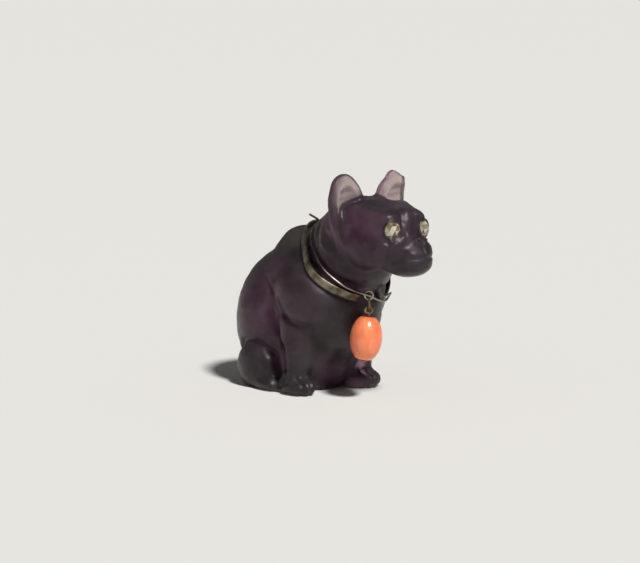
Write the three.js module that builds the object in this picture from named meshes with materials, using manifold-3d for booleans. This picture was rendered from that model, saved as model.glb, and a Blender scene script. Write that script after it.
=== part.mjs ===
// Amethyst bulldog with rose-cut eyes, a gilt collar and a coral bead.
// Millimetres, +Z up. The dog looks along -Y, and +X is the dog's own left.
import * as THREE from 'three';
import { mergeVertices } from 'three/addons/utils/BufferGeometryUtils.js';
import Module from 'manifold-3d';

const wasm = await Module();
wasm.setup();

// Driving dimensions of the carving
const ORIGIN = [0, 0.07, 0];          // under the middle of the dog, as carved
const HEAD_AT = [1.2, -8.6, 25.8];    // middle of the head
const HEAD_YAW = 4;                   // degrees, towards the dog's left
const HEAD_ROLL = 3;                  // degrees, left side lower
const EAR_AT = [4.7, 2.0, 2.85];      // middle of an ear, from the middle of the head
const EAR_LEAN = 15;                  // degrees outwards
const EAR_THICK = 2.1;
const EAR_HALF = [3.9, 6.2];          // half width and half height of the leaf
const EAR_TAPER = 0.45;               // share of the thickness lost at the rim
const EAR_ROOT_AT = [4.6, 1.9, 1.5];
const RIGHT_PAW = [-6.4, 2.0, 1.2];
const LEFT_PAW = [5.3, 0.5, 1.2];     // set further forward and in

// Driving dimensions of the fittings
const GEM_R = 1.36;                   // rose-cut stone, 2.7 mm across
const GEM_H = 1.0;
const GEM_GIRDLE = 0.3;
const STAR_R = 0.6;                   // upper ring of facets, as a share of the radius
const STAR_RISE = 0.66;               // and of the height above the girdle
const EYE_AT = [3.4, -6.55, 1.05];    // from the middle of the head
const EYE_TURN = 16;                  // degrees that each eye looks outwards
const SETTING_WALL = 0.12;
const EYE_PROUD = 0.1;                // rim of the setting above the stone on its axis
const SMALL_GAP = 0.08;               // clearance around the small fittings
const COLLAR_AT = [0.3, -1.4, 20.6];  // middle of the collar's plane
const COLLAR_SLOPE = 38;              // degrees, low at the chest
const COLLAR_DROP = 1.5;              // the collar sags on the dog's left
const DROP_AT = 312;                  // degrees around the collar, the chest is at 270
const DROP_REACH = 44;
const SEAT_DEEP = 1.15;               // the neck is hollowed under the collar
const SEAT_UP = 0.4;
const SEAT_WIDE = 1.7;
const COLLAR_GAP = 0.3;
const BAND_WIDE = 1.4;
const BAND_THICK = 0.32;
const WIRE_D = 0.34;
const RING_R = 0.62;                  // middle line of the front ring
const BEAD_R = 2.5;
const BEAD_LONG = 6.6;
const BEAD_END_R = 1.15;
const BEAD_BORE_R = 0.4;
const BEAD_TILT = 7;                  // degrees, foot of the bead to the dog's right

const rad = THREE.MathUtils.degToRad;

// Distance to a form, from the point p: negative inside the form
function toLocal(turn) {
  const [x, y, z] = turn.map(rad);
  const m = new THREE.Matrix4().makeRotationFromEuler(new THREE.Euler(x, y, z, 'ZYX'));
  const e = m.elements;
  return (q) => [
    q[0] * e[0] + q[1] * e[1] + q[2] * e[2],
    q[0] * e[4] + q[1] * e[5] + q[2] * e[6],
    q[0] * e[8] + q[1] * e[9] + q[2] * e[10],
  ];
}
const less = (p, c) => [p[0] - c[0], p[1] - c[1], p[2] - c[2]];
const mirrored = (p) => [Math.abs(p[0]), p[1], p[2]];

function egg(at, radii, turn = [0, 0, 0]) {
  const local = toLocal(turn);
  return (p) => {
    const q = local(less(p, at));
    const a = Math.hypot(q[0] / radii[0], q[1] / radii[1], q[2] / radii[2]);
    const b = Math.hypot(q[0] / radii[0] ** 2, q[1] / radii[1] ** 2, q[2] / radii[2] ** 2);
    return (a * (a - 1)) / Math.max(b, 1e-6);
  };
}
function limb(from, to, rFrom, rTo) {
  const d = less(to, from);
  const length2 = d[0] ** 2 + d[1] ** 2 + d[2] ** 2;
  return (p) => {
    const q = less(p, from);
    const along = (q[0] * d[0] + q[1] * d[1] + q[2] * d[2]) / length2;
    const t = Math.min(Math.max(along, 0), 1);
    const off = Math.hypot(q[0] - t * d[0], q[1] - t * d[1], q[2] - t * d[2]);
    return off - (rFrom + (rTo - rFrom) * t);
  };
}
function stroke(points, r) {
  const runs = points.slice(1).map((to, i) => limb(points[i], to, r, r));
  return (p) => Math.min(...runs.map((run) => run(p)));
}
function join(a, b, k) {
  const h = Math.max(k - Math.abs(a - b), 0) / k;
  return Math.min(a, b) - (h * h * k) / 4;
}
const cut = (a, b, k) => -join(-a, b, k);
const meet = (a, b, k) => -join(-a, -b, k);

// Head, measured from its own middle, level and facing -Y
const skull = egg([0, 0.4, 0.4], [6.0, 6.3, 4.8]);
const cheek = egg([3.1, -1.6, -1.8], [3.3, 4.8, 3.7]);
const face = egg([0, -3.7, 0.6], [4.7, 3.6, 3.5]);
const muzzle = egg([0, -5.8, -2.3], [3.9, 4.0, 3.2]);
const flews = egg([1.75, -7.0, -1.6], [1.9, 1.95, 1.5]);
const jaw = egg([0, -6.4, -4.0], [3.45, 3.95, 2.1]);
const lips = egg([0, -6.2, -2.9], [3.6, 3.9, 2.0]);
const templeRidge = limb([4.6, -0.5, 3.2], [3.2, -5.0, 1.8], 1.4, 1.1);
const brow = egg([2.4, -4.7, 2.9], [1.7, 1.2, 0.8], [0, 8, 0]);
const stop = egg([0, -5.3, 1.9], [1.3, 1.6, 2.3]);
const nose = egg([0, -8.65, -0.35], [1.25, 0.95, 0.85]);
const eyeHollow = egg([3.35, -7.4, 0.95], [1.6, 1.0, 1.6], [0, 0, 18]);
const earBase = egg(EAR_ROOT_AT, [2.3, 1.9, 2.3]);

function head(q) {
  const m = mirrored(q);
  let d = join(skull(q), cheek(m), 1.5);
  d = join(d, face(q), 1.4);
  d = join(d, muzzle(q), 1.0);
  d = join(d, flews(m), 0.5);
  d = join(d, jaw(q), 1.1);
  d = join(d, lips(q), 0.9);
  d = join(d, templeRidge(m), 2.0);
  d = join(d, brow(m), 1.1);
  d = join(d, stop(q), 1.0);
  d = join(d, nose(q), 0.35);
  d = cut(d, eyeHollow(m), 0.35);
  return join(d, earBase(m), 0.9);
}

// Ears: thick upright leaves, dished in front, the left one drawn to a tip and chipped
const earLocal = toLocal([-4, EAR_LEAN, -4]);
const dish = egg([0.2, -2.6, 0.2], [3.4, 2.8, 5.7]);
const earRoot = egg(EAR_ROOT_AT, [2.2, 1.4, 2.6]);
const TIP_AT = [-0.8, 5.2];
const TIP_R = 1.1;
const CHIP_AT = [5.17, 9.11];
const CHIP_SLOPE = 29;
const CHIP_EDGE = 7.0;

function ears(q) {
  const m = mirrored(q);
  const e = earLocal(less(m, EAR_AT));
  const a = Math.hypot(e[0] / EAR_HALF[0], e[2] / EAR_HALF[1]);
  const b = Math.hypot(e[0] / EAR_HALF[0] ** 2, e[2] / EAR_HALF[1] ** 2);
  const half = (EAR_THICK / 2) * (1 - EAR_TAPER * Math.min(a, 1.2) ** 2);
  let d = (a * (a - 1)) / Math.max(b, 1e-6);
  if (q[0] > 0) d = join(d, Math.hypot(e[0] - TIP_AT[0], e[2] - TIP_AT[1]) - TIP_R, 0.9);
  d = meet(d, Math.abs(e[1]) - half, 0.5);
  d = cut(d, dish(e), 0.3);
  d = join(d, earRoot(m), 0.8);
  const slope = rad(CHIP_SLOPE);
  const chip = (q[0] - CHIP_AT[0]) * Math.sin(slope) + (q[2] - CHIP_AT[1]) * Math.cos(slope);
  return Math.max(d, chip, q[0] - CHIP_EDGE);
}

// The collar lies on a sloping plane round the neck, and drops on the dog's left
const tilt = rad(COLLAR_SLOPE);
const collarUp = [0, -Math.sin(tilt), Math.cos(tilt)];
const collarBack = [0, Math.cos(tilt), Math.sin(tilt)];
const dot = (a, b) => a[0] * b[0] + a[1] * b[1] + a[2] * b[2];
function collarDrop(degrees) {
  const off = ((degrees - DROP_AT + 540) % 360) - 180;
  if (Math.abs(off) > DROP_REACH) return 0;
  return COLLAR_DROP * Math.cos((off / DROP_REACH) * (Math.PI / 2)) ** 2;
}
function collarSeat(p) {
  const q = less(p, COLLAR_AT);
  const degrees = THREE.MathUtils.radToDeg(Math.atan2(dot(q, collarBack), q[0]));
  const height = dot(q, collarUp) + collarDrop(degrees);
  return SEAT_DEEP * Math.exp(-(((height - SEAT_UP) / SEAT_WIDE) ** 2));
}

// Trunk and legs
const rump = egg([0, 10.7, 10.0], [9.0, 8.4, 11.3]);
const back = egg([0, 6.6, 14.4], [7.4, 7.6, 8.6], [20, 0, 0]);
const chest = egg([0.5, -0.2, 13.7], [7.0, 6.7, 8.7]);
const shoulder = egg([5.2, 1.2, 15.6], [3.9, 5.9, 5.6], [-14, 0, 0]);
const withers = egg([0, 6.9, 20.5], [4.8, 4.7, 4.9]);
const neck = limb([0.3, -1.0, 17.5], [1.0, -5.0, 24.4], 7.2, 6.2);
const nape = limb([0, 3.4, 20.2], [1.0, -4.5, 25.4], 5.3, 5.2);
const breast = egg([0, 3.9, 7.0], [6.6, 5.7, 8.0]);
const forelegs = [[RIGHT_PAW, -5.6, 2.5], [LEFT_PAW, 5.6, 2.9]].map(([paw, elbow, halfWide]) => ({
  leg: limb([elbow, 2.2, 11.0], [paw[0], paw[1] + 0.1, paw[2] + 1.4], 3.1, 2.0),
  paw: egg(paw, [halfWide, 3.9, 1.8]),
}));
const haunch = egg([6.9, 10.2, 3.4], [2.75, 4.7, 4.4]);
const hindpaw = egg([7.5, 7.2, 1.0], [1.9, 3.8, 1.4]);
const belly = egg([0, 8.6, 3.0], [7.4, 8.0, 5.0]);
const flankFold = stroke(
  [
    [7.2, 8.8, 17.6], [8.7, 5.8, 15.2], [8.7, 6.6, 12.8], [8.3, 5.2, 9.8],
    [8.4, 2.7, 7.0], [8.4, 2.5, 3.6], [8.5, 3.4, 1.2],
  ],
  0.25,
);
const flankPit = egg([8.9, 6.3, 13.3], [0.9, 0.6, 1.0]);

function trunk(p) {
  const m = mirrored(p);
  let d = join(rump(p), back(p), 2.5);
  d = join(d, chest(p), 2.5);
  d = join(d, shoulder(m), 0.9);
  d = join(d, withers(p), 1.8);
  d = join(d, neck(p), 1.6);
  d = join(d, nape(p), 1.6) + collarSeat(p);
  d = join(d, breast(p), 2.0);
  for (const { leg, paw } of forelegs) d = join(join(d, leg(p), 0.7), paw(p), 0.5);
  d = join(d, haunch(m), 0.25);
  d = join(d, hindpaw(m), 0.5);
  d = join(d, belly(p), 1.5);
  d = cut(d, flankFold(m), 0.9);
  return cut(d, flankPit(m), 0.5);
}

const headLocal = toLocal([0, HEAD_ROLL, HEAD_YAW]);
function dog(p) {
  const q = headLocal(less(p, HEAD_AT));
  return join(join(trunk(p), head(q), 0.9), ears(q), 0.8);
}

// Surface of a form: one corner in each cell it crosses, slid onto the surface
function slope(field, p) {
  const e = 0.01;
  const g = [0, 1, 2].map((k) => {
    const a = [...p];
    const b = [...p];
    a[k] += e;
    b[k] -= e;
    return field(a) - field(b);
  });
  const size = Math.hypot(...g) || 1;
  return g.map((v) => v / size);
}

// Corners of neighbouring cells never meet: each keeps this far inside its own cell
const CELL_MARGIN = 0.02;

function skin(field, grid) {
  const n = grid.map((line) => line.length);
  const value = new Float32Array(n[0] * n[1] * n[2]);
  const at = (i, j, k) => (i * n[1] + j) * n[2] + k;
  for (let i = 0; i < n[0]; i++)
    for (let j = 0; j < n[1]; j++)
      for (let k = 0; k < n[2]; k++)
        value[at(i, j, k)] = field([grid[0][i], grid[1][j], grid[2][k]]);

  // A cell face with stone at two opposite corners only is filled at a third
  const strides = [n[1] * n[2], n[2], 1];
  for (let filled = true; filled; ) {
    filled = false;
    for (let a = 0; a < value.length - strides[0] - strides[1]; a++)
      for (const [u, v] of [[0, 1], [1, 2], [0, 2]]) {
        const face = [a, a + strides[u], a + strides[u] + strides[v], a + strides[v]];
        const stoneAt = face.map((c) => value[c] < 0);
        if (stoneAt[0] !== stoneAt[2] || stoneAt[1] !== stoneAt[3]) continue;
        if (stoneAt[0] === stoneAt[1]) continue;
        const open = face.filter((c) => value[c] >= 0);
        value[value[open[0]] < value[open[1]] ? open[0] : open[1]] = -0.01;
        filled = true;
      }
  }

  const corners = [];
  const cornerOf = new Int32Array(value.length).fill(-1);
  const offsets = [0, 1, 2, 3, 4, 5, 6, 7].map((b) => [b & 1, (b >> 1) & 1, (b >> 2) & 1]);
  for (let i = 0; i + 1 < n[0]; i++)
    for (let j = 0; j + 1 < n[1]; j++)
      for (let k = 0; k + 1 < n[2]; k++) {
        const low = [grid[0][i], grid[1][j], grid[2][k]];
        const high = [grid[0][i + 1], grid[1][j + 1], grid[2][k + 1]];
        const v = offsets.map((o) => value[at(i + o[0], j + o[1], k + o[2])]);
        if (v.every((d) => d < 0) || v.every((d) => d >= 0)) continue;
        const sum = [0, 0, 0];
        let crossings = 0;
        for (let a = 0; a < 8; a++)
          for (const bit of [1, 2, 4]) {
            const b = a | bit;
            if (b === a || v[a] < 0 === v[b] < 0) continue;
            const t = v[a] / (v[a] - v[b]);
            crossings++;
            for (const axis of [0, 1, 2]) {
              const s = offsets[a][axis] * (1 - t) + offsets[b][axis] * t;
              sum[axis] += low[axis] + s * (high[axis] - low[axis]);
            }
          }
        let p = sum.map((s) => s / crossings);
        for (let step = 0; step < 3; step++) {
          const g = slope(field, p);
          const d = field(p);
          p = p.map((c, axis) => {
            const least = low[axis] + CELL_MARGIN;
            return Math.min(Math.max(c - g[axis] * d, least), high[axis] - CELL_MARGIN);
          });
        }
        cornerOf[at(i, j, k)] = corners.length;
        corners.push(p);
      }

  const faces = [];
  const far2 = (a, b) => Math.hypot(...less(corners[a], corners[b]));
  const quad = (c, outward) => {
    const [a, b, e, f] = outward ? c : [c[3], c[2], c[1], c[0]];
    if (far2(a, e) < far2(b, f)) faces.push(a, b, e, a, e, f);
    else faces.push(b, e, f, b, f, a);
  };
  for (let i = 1; i < n[0] - 1; i++)
    for (let j = 1; j < n[1] - 1; j++)
      for (let k = 1; k < n[2] - 1; k++) {
        const here = value[at(i, j, k)] < 0;
        const c = (x, y, z) => cornerOf[at(i - x, j - y, k - z)];
        if (here !== value[at(i + 1, j, k)] < 0)
          quad([c(0, 1, 1), c(0, 0, 1), c(0, 0, 0), c(0, 1, 0)], here);
        if (here !== value[at(i, j + 1, k)] < 0)
          quad([c(1, 0, 1), c(1, 0, 0), c(0, 0, 0), c(0, 0, 1)], here);
        if (here !== value[at(i, j, k + 1)] < 0)
          quad([c(1, 1, 0), c(0, 1, 0), c(0, 0, 0), c(1, 0, 0)], here);
      }
  const geometry = new THREE.BufferGeometry();
  geometry.setAttribute('position', new THREE.Float32BufferAttribute(corners.flat(), 3));
  geometry.setIndex(faces);
  return geometry;
}

// Grid lines between a and b, no further apart than step
function lines(...runs) {
  const out = [runs[0][0]];
  for (const [a, b, step] of runs) {
    const count = Math.ceil((b - a) / step);
    for (let i = 1; i <= count; i++) out.push(a + ((b - a) * i) / count);
  }
  return out;
}

function toSolid(geometry) {
  const bare = geometry.clone();
  bare.deleteAttribute('normal');
  bare.deleteAttribute('uv');
  const merged = mergeVertices(bare, 1e-5);
  return new wasm.Manifold(new wasm.Mesh({
    numProp: 3,
    vertProperties: new Float32Array(merged.attributes.position.array),
    triVerts: new Uint32Array(merged.index.array),
  }));
}
function toGeometry(solid) {
  const mesh = solid.getMesh();
  const geometry = new THREE.BufferGeometry();
  geometry.setAttribute('position', new THREE.BufferAttribute(mesh.vertProperties, 3));
  geometry.setIndex(new THREE.BufferAttribute(mesh.triVerts, 1));
  geometry.computeVertexNormals();
  return geometry;
}

// Closed skin over rings of points, capped at both ends unless it closes on itself
function sweep(rings, closed) {
  const sides = rings[0].length;
  const points = rings.flat(2);
  const faces = [];
  const turns = closed ? rings.length : rings.length - 1;
  for (let i = 0; i < turns; i++)
    for (let s = 0; s < sides; s++) {
      const t = (s + 1) % sides;
      const j = (i + 1) % rings.length;
      const [a, b, c, d] = [i * sides + s, i * sides + t, j * sides + t, j * sides + s];
      faces.push(a, b, c, a, c, d);
    }
  const last = (rings.length - 1) * sides;
  for (let s = 1; s + 1 < sides && !closed; s++) {
    faces.push(0, s + 1, s);
    faces.push(last, last + s, last + s + 1);
  }
  const geometry = new THREE.BufferGeometry();
  geometry.setAttribute('position', new THREE.Float32BufferAttribute(points, 3));
  geometry.setIndex(faces);
  geometry.computeVertexNormals();
  return geometry;
}

function wire(points, radius, steps) {
  const path = new THREE.CatmullRomCurve3(points.map((p) => new THREE.Vector3(...p)));
  const section = new THREE.Shape().absarc(0, 0, radius, 0, 2 * Math.PI);
  return new THREE.ExtrudeGeometry(section, { steps, extrudePath: path, curveSegments: 3 });
}

const finish = (color, roughness, metalness) =>
  new THREE.MeshStandardMaterial({ color, roughness, metalness });
const amethyst = finish(0x3a2c3d, 0.4, 0);
const paleStone = finish(0xd8cda0, 0.08, 0);
const gilt = finish(0x8a7f5a, 0.4, 1);
const coral = finish(0xf0703c, 0.25, 0);

const model = new THREE.Group();
model.position.set(-ORIGIN[0], -ORIGIN[1], -ORIGIN[2]);

function piece(name, geometry, material, parent = model) {
  const mesh = new THREE.Mesh(geometry, material);
  mesh.name = name;
  parent.add(mesh);
  return mesh;
}

// Where a straight line from a point inside first has the clearance asked for
function marchOut(from, direction, clear) {
  let t = 0;
  const at = () => from.map((c, axis) => c + direction[axis] * t);
  while (clear(at()) < 0) t += 0.02;
  return at();
}

// Eyes: rose-cut stones in thin closed settings, sunk into the head
const SETTING_DEEP = 0.65;
const SETTING_FLOOR = 0.15;
const TURNED_SIDES = 24;
const SOCKET_LONG = 3;                // the cutter for a socket reaches out of the head
const INTO_HEAD = 2;
const settingInside = GEM_R + SMALL_GAP;
const settingOutside = settingInside + SETTING_WALL;

function roseCut() {
  const ring = (count, r, z) => Array.from({ length: count }, (_, i) => {
    const a = (i / count) * 2 * Math.PI;
    return [r * Math.cos(a), r * Math.sin(a), z];
  });
  const points = [
    ...ring(12, GEM_R, 0),
    ...ring(12, GEM_R, GEM_GIRDLE),
    ...ring(6, GEM_R * STAR_R, GEM_GIRDLE + (GEM_H - GEM_GIRDLE) * STAR_RISE),
    [0, 0, GEM_H],
    [0, 0, 0],
  ];
  const [girdle, star, tip, foot] = [12, 24, 30, 31];
  const faces = [];
  for (let i = 0; i < 12; i++) {
    const j = (i + 1) % 12;
    faces.push(foot, j, i);
    faces.push(i, j, girdle + j, i, girdle + j, girdle + i);
  }
  for (let i = 0; i < 6; i++) {
    const j = (i + 1) % 6;
    const [a, b, c] = [girdle + 2 * i, girdle + 2 * i + 1, girdle + ((2 * i + 2) % 12)];
    faces.push(a, b, star + i, b, c, star + j, b, star + j, star + i);
    faces.push(star + i, star + j, tip);
  }
  const geometry = new THREE.BufferGeometry();
  geometry.setAttribute('position', new THREE.Float32BufferAttribute(points.flat(), 3));
  geometry.setIndex(faces);
  return geometry.toNonIndexed();
}

function settingCup() {
  const profile = [
    [0, -SETTING_DEEP],
    [settingOutside, -SETTING_DEEP],
    [settingOutside, 0],
    [settingInside, 0],
    [settingInside, SETTING_FLOOR - SETTING_DEEP],
    [0, SETTING_FLOOR - SETTING_DEEP],
  ];
  return new THREE.LatheGeometry(profile.map(([r, z]) => new THREE.Vector2(r, z)), TURNED_SIDES)
    .rotateX(Math.PI / 2);
}

// The grid is finer over the head than over the trunk
const ACROSS = 0.97;
const FINE = 0.88;
const COARSE = 1.5;
let stone = toSolid(skin(dog, [
  lines([-11, 11, ACROSS]),
  lines([-20.4, -3, FINE], [-3, 21, COARSE]),
  lines([-3.5, 15, COARSE], [15, 36.5, FINE]),
]));
const GROUND = [60, 60, 10];
const ground = toSolid(new THREE.BoxGeometry(...GROUND).translate(0, 0, -GROUND[2] / 2));
stone = stone.subtract(ground);

const headTurn = new THREE.Matrix4()
  .makeRotationFromEuler(new THREE.Euler(0, rad(HEAD_ROLL), rad(HEAD_YAW), 'ZYX'));
const headPoint = (at) => {
  const v = new THREE.Vector3(...at).applyMatrix4(headTurn);
  return [v.x + HEAD_AT[0], v.y + HEAD_AT[1], v.z + HEAD_AT[2]];
};
for (const [name, side] of [['right', -1], ['left', 1]]) {
  const look = rad(HEAD_YAW + side * EYE_TURN);
  const outward = [Math.sin(look), -Math.cos(look), 0];
  const inside = headPoint([side * EYE_AT[0], EYE_AT[1], EYE_AT[2]])
    .map((c, axis) => c - outward[axis] * INTO_HEAD);
  const rim = marchOut(inside, outward, dog).map((c, axis) => c + outward[axis] * EYE_PROUD);
  const eye = new THREE.Group();
  eye.position.set(...rim);
  eye.lookAt(...rim.map((c, axis) => c + outward[axis]));
  model.add(eye);
  const floor = SETTING_FLOOR - SETTING_DEEP;
  piece(`eye_${name}_setting`, settingCup(), gilt, eye);
  piece(`eye_${name}_gem`, roseCut().translate(0, 0, floor + SMALL_GAP), paleStone, eye);
  const seat = new THREE.CylinderGeometry(
    settingOutside + SMALL_GAP, settingOutside + SMALL_GAP, SOCKET_LONG, TURNED_SIDES,
  );
  seat.rotateX(Math.PI / 2).translate(0, 0, SOCKET_LONG / 2 - SETTING_DEEP - SMALL_GAP);
  eye.updateMatrix();
  stone = stone.subtract(toSolid(seat.applyMatrix4(eye.matrix)));
}
piece('bulldog', toGeometry(stone), amethyst);

// Collar: a flat gilt band with its two ends at the chest
const BAND_ENDS = [-66, 254];         // degrees around the collar, the chest is at -90
const BAND_STATIONS = 80;
function around(degrees, height) {
  const a = rad(degrees);
  const rise = height - collarDrop(degrees);
  return {
    middle: COLLAR_AT.map((c, axis) => c + collarUp[axis] * rise),
    outward: [Math.cos(a), Math.sin(a) * collarBack[1], Math.sin(a) * collarBack[2]],
  };
}
const shift = (p, by, amount) => p.map((c, axis) => c + by[axis] * amount);
const edges = [-BAND_WIDE / 2, 0, BAND_WIDE / 2];
const clearOfStone = (p) => Math.min(...edges.map((e) => dog(shift(p, collarUp, e))));
function bandInside(degrees) {
  const { middle, outward } = around(degrees, 0);
  return marchOut(middle, outward, (p) => clearOfStone(p) - COLLAR_GAP);
}
// A hoop of metal is smoother than the neck inside it
const HOOP_SPREAD = [-16, -8, 0, 8, 16];
function hoopInside(degrees) {
  const reach = HOOP_SPREAD.map((d) => {
    const { middle } = around(degrees + d, 0);
    return Math.hypot(...less(bandInside(degrees + d), middle));
  });
  const { middle, outward } = around(degrees, 0);
  const mean = reach.reduce((sum, t) => sum + t) / reach.length;
  return shift(middle, outward, Math.max(mean, reach[2]));
}
const bandRings = Array.from({ length: BAND_STATIONS }, (_, i) => {
  const share = i / (BAND_STATIONS - 1);
  const degrees = BAND_ENDS[0] + (BAND_ENDS[1] - BAND_ENDS[0]) * share;
  const inner = hoopInside(degrees);
  const outer = shift(inner, around(degrees, 0).outward, BAND_THICK);
  return [
    shift(inner, collarUp, BAND_WIDE / 2),
    shift(outer, collarUp, BAND_WIDE / 2),
    shift(outer, collarUp, -BAND_WIDE / 2),
    shift(inner, collarUp, -BAND_WIDE / 2),
  ];
});
piece('collar_band', sweep(bandRings, false), gilt);

// Pendant: front ring, oval link, then the bead on its pin
const PENDANT_AT = [-1.15, -9.15];
const RING_Z = 16.35;
const RING_WIRE_R = 0.17;
const LINK_HALF = [0.5, 0.95];        // half width and half height of its middle line
const LINK_WIRE_R = 0.15;
const EYE_LOOP_R = 0.55;              // eye at the head of the pin
const PIN_R = 0.16;
const RING_TURN = -30;                // degrees, the ring faces the dog's right
const PIN_SHANK = 0.45;               // straight run below the eye of the pin
const BEAD_DROP = 0.35;               // from the eye of the pin down to the bead
const WIRE_SIDES = 6;
const LOOP_STATIONS = 20;
const BEAD_STATIONS = 12;
const KNOB_R = 0.45;
const KNOB_DEEP = 0.26;

const ring = new THREE.Group();
ring.position.set(...PENDANT_AT, RING_Z);
ring.rotation.z = rad(RING_TURN);
model.add(ring);
const torus = new THREE.TorusGeometry(RING_R, RING_WIRE_R, WIRE_SIDES, LOOP_STATIONS).rotateX(Math.PI / 2);
piece('front_ring', torus, gilt, ring);

const linkZ = RING_Z - RING_R + RING_WIRE_R + LINK_WIRE_R + SMALL_GAP - LINK_HALF[1];
const linkRings = Array.from({ length: LOOP_STATIONS }, (_, i) => {
  const a = (i / LOOP_STATIONS) * 2 * Math.PI;
  const middle = [0, LINK_HALF[0] * Math.cos(a), LINK_HALF[1] * Math.sin(a)];
  const out = new THREE.Vector2(Math.cos(a) * LINK_HALF[1], Math.sin(a) * LINK_HALF[0]).normalize();
  return Array.from({ length: WIRE_SIDES }, (_, s) => {
    const b = (s / WIRE_SIDES) * 2 * Math.PI;
    const lift = LINK_WIRE_R * Math.cos(b);
    return [-LINK_WIRE_R * Math.sin(b), middle[1] + out.x * lift, middle[2] + out.y * lift];
  });
});
const link = piece('pendant_link', sweep(linkRings, true), gilt);
link.position.set(...PENDANT_AT, linkZ);
link.rotation.z = rad(RING_TURN);

const pinEyeZ = linkZ - LINK_HALF[1] + LINK_WIRE_R + PIN_R + SMALL_GAP - EYE_LOOP_R;
const pendant = new THREE.Group();
pendant.position.set(...PENDANT_AT, pinEyeZ);
pendant.rotation.set(0, rad(BEAD_TILT), rad(RING_TURN));
model.add(pendant);
const beadTop = -EYE_LOOP_R - PIN_R - BEAD_DROP;
const beadMiddle = beadTop - BEAD_LONG / 2;
const beadReach = (BEAD_LONG / 2) / Math.sqrt(1 - (BEAD_END_R / BEAD_R) ** 2);
const beadProfile = [[BEAD_BORE_R, -BEAD_LONG / 2]];
for (let i = 0; i <= BEAD_STATIONS; i++) {
  const z = -BEAD_LONG / 2 + (BEAD_LONG * i) / BEAD_STATIONS;
  beadProfile.push([BEAD_R * Math.sqrt(1 - (z / beadReach) ** 2), z]);
}
beadProfile.push([BEAD_BORE_R, BEAD_LONG / 2], [BEAD_BORE_R, -BEAD_LONG / 2]);
const bead = new THREE.LatheGeometry(beadProfile.map(([r, z]) => new THREE.Vector2(r, z)), TURNED_SIDES);
piece('coral_bead', bead.rotateX(Math.PI / 2).translate(0, 0, beadMiddle), coral, pendant);

const pinPoints = [];
const LOOP_FROM = 270;                // degrees, the eye of the pin stays a little open
const LOOP_TO = -30;
const LOOP_STEPS = 12;
for (let i = 0; i <= LOOP_STEPS; i++) {
  const a = rad(LOOP_FROM + ((LOOP_TO - LOOP_FROM) * i) / LOOP_STEPS);
  pinPoints.push([EYE_LOOP_R * Math.cos(a), 0, EYE_LOOP_R * Math.sin(a)]);
}
const shank = [0, 0, -EYE_LOOP_R - PIN_SHANK];
const pinFoot = beadTop - BEAD_LONG - SMALL_GAP;
pinPoints.push(shank, [0, 0, beadMiddle], [0, 0, pinFoot - 0.05]);
const shaft = toSolid(wire(pinPoints, PIN_R, 34));
const knobProfile = [
  [0, -KNOB_DEEP],
  [KNOB_R * 0.7, -KNOB_DEEP],
  [KNOB_R, -KNOB_DEEP / 2],
  [KNOB_R, 0],
  [0, 0],
];
const knob = new THREE.LatheGeometry(knobProfile.map(([r, z]) => new THREE.Vector2(r, z)), TURNED_SIDES)
  .rotateX(Math.PI / 2).translate(0, 0, pinFoot);
piece('bead_pin', toGeometry(shaft.add(toSolid(knob))), gilt, pendant);

// Collar wire: its free end stands up at the nape, it lies on the neck above the band,
// carries the ring at the chest, and ends in a loop on the left side
function wireStation([degrees, height, over]) {
  const { middle, outward } = around(degrees, height);
  const onStone = marchOut(middle, outward, (p) => dog(p) - COLLAR_GAP - WIRE_D / 2);
  const onBand = shift(
    shift(hoopInside(degrees), outward, BAND_THICK + SMALL_GAP + WIRE_D / 2), collarUp, height,
  );
  return onStone.map((c, axis) => c + (onBand[axis] - c) * over);
}
// Degrees around, height above the band's middle, and 0 on the stone to 1 over the band
const rightSide = [
  [112, 2.9, 1.1],
  [94, 1.3, 0.35],
  [104, 1.15, 0.1],
  [118, 1.2, 0],
  [132, 1.25, 0],
  [148, 1.3, 0],
  [165, 1.3, 0],
  [185, 1.25, 0],
  [205, 1.2, 0.1],
  [228, 1.15, 0.3],
  [243, 1.1, 0.5],
].map(wireStation);
const leftLoop = [
  [274, 0.35, 1.1],
  [288, -0.2, 1.1],
  [299, -0.35, 1.1],
  [304, 0.4, 1.1],
  [300, 1.2, 1.1],
  [291, 1.1, 1.1],
  [284, 0.9, 1.1],
].map(wireStation);
const ringMiddle = [...PENDANT_AT, RING_Z];
const throughRing = [-Math.sin(rad(RING_TURN)), Math.cos(rad(RING_TURN)), 0];
const hook = [-0.45, 0, 0.35].map((t) => shift(ringMiddle, throughRing, t));
const route = [...rightSide, ...hook, ...leftLoop];
piece('collar_wire', wire(route, WIRE_D / 2, 90), gilt);

export default model;
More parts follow.
